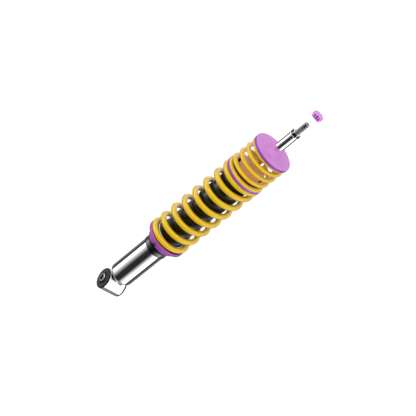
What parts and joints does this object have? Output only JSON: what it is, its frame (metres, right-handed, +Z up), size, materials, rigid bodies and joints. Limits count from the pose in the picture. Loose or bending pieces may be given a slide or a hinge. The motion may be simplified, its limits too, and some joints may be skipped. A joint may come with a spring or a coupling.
{
  "type": "coilover",
  "caption": "Height-adjustable coilover: threaded damper body with an eye bush, main and helper springs on ring seats, a sleeved upper stud and a lift-off rebound knob.",
  "frame": {"origin": "centre of the lower eye's bolt bore", "axes": "+Z up the damper axis towards the upper stud, X along the lower bolt"},
  "size_m": [0.0838, 0.0838, 0.5771],
  "materials": {
    "tube_chrome": "bright polished plating",
    "thread_steel": "grey steel with a fine turned thread",
    "sleeve_chrome": "bright turned and plated",
    "rod_steel": "ground rod, dull grey on its threaded end",
    "nut_steel": "bright zinc plate",
    "plain_steel": "machined",
    "dark_steel": "black oxide",
    "bush_steel": "pale yellowish zinc plate",
    "weld_steel": "plated weld bead",
    "aluminium": "machined",
    "spring_yellow": "glossy powder coat",
    "purple_anodise": "satin anodised",
    "knob_purple": "bright satin anodised",
    "bump_foam": "microcellular foam",
    "dust_plastic": "semi-gloss black",
    "bush_rubber": "matt moulded",
    "seal_rubber": "smooth",
    "seat_steel": "bright turned steel",
    "band_plastic": "bronze-filled plastic"
  },
  "bodies": {
    "damper_body": {"lower_eye": "tube_chrome", "bush_rubber": "bush_rubber", "eye_weld": "weld_steel", "body_tube": "tube_chrome", "threaded_sleeve": "thread_steel", "inner_cylinder": "plain_steel", "base_valve": "aluminium", "rod_guide": "aluminium", "guide_bush": "band_plastic", "rod_seal": "seal_rubber", "end_cap": "plain_steel"},
    "bush": {"bush_sleeve": "bush_steel"},
    "rod": {"piston_rod": "rod_steel", "piston": "aluminium", "piston_band": "band_plastic", "valve_shims": "plain_steel", "piston_nut": "plain_steel", "rebound_stop": "seal_rubber", "stop_washer": "plain_steel", "spacer_sleeve": "sleeve_chrome", "top_nut": "nut_steel", "bump_stop": "bump_foam", "dust_tube": "dust_plastic"},
    "spring_seat": {"seat_ring": "seat_steel", "main_spring": "spring_yellow"},
    "height_adjuster": {"adjuster_ring": "purple_anodise", "lock_screw": "dark_steel"},
    "spring_spacer": {"spacer_ring": "purple_anodise", "helper_spring": "spring_yellow"},
    "upper_plate": {"top_plate": "purple_anodise"},
    "spindle": {"adjuster_spindle": "dark_steel"},
    "knob": {"adjuster_knob": "knob_purple"}
  },
  "joints": [
    {"name": "bush_twist", "type": "hinge", "parent": "damper_body", "child": "bush", "pos_m": [0, 0, 0], "axis": [1, 0, 0], "range_deg": [-15, 15], "stiffness_Nm_per_rad": 30},
    {"name": "rod_compress", "type": "slide", "parent": "damper_body", "child": "rod", "axis": [0, 0, -1], "range_m": [0, 0.08], "stiffness_N_per_m": 30000},
    {"name": "perch_height", "type": "slide", "parent": "damper_body", "child": "spring_seat", "axis": [0, 0, 1], "range_m": [-0.012, 0.03]},
    {"name": "ring_turn", "type": "hinge", "parent": "spring_seat", "child": "height_adjuster", "pos_m": [0, 0, 0.155], "axis": [0, 0, 1], "range_deg": [-2161, 5401]},
    {"name": "main_squeeze", "type": "slide", "parent": "spring_seat", "child": "spring_spacer", "axis": [0, 0, -1], "range_m": [0, 0.0605], "deforming": ["main_spring"]},
    {"name": "helper_squeeze", "type": "slide", "parent": "spring_spacer", "child": "upper_plate", "axis": [0, 0, -1], "range_m": [0, 0.0205], "deforming": ["helper_spring"]},
    {"name": "spindle_turn", "type": "hinge", "parent": "rod", "child": "spindle", "pos_m": [0, 0, 0.5], "axis": [0, 0, 1], "range_deg": [-360, 360]},
    {"name": "knob_fit", "type": "slide", "parent": "spindle", "child": "knob", "axis": [0, 0, -1], "range_m": [0, 0.0239]}
  ],
  "couplings": [
    {"joint": "ring_turn", "follows": "perch_height", "rad_per_m": 3141.6},
    {"joint": "main_squeeze", "follows": "rod_compress", "ratio": 0.75},
    {"joint": "helper_squeeze", "follows": "rod_compress", "ratio": 0.25}
  ]
}
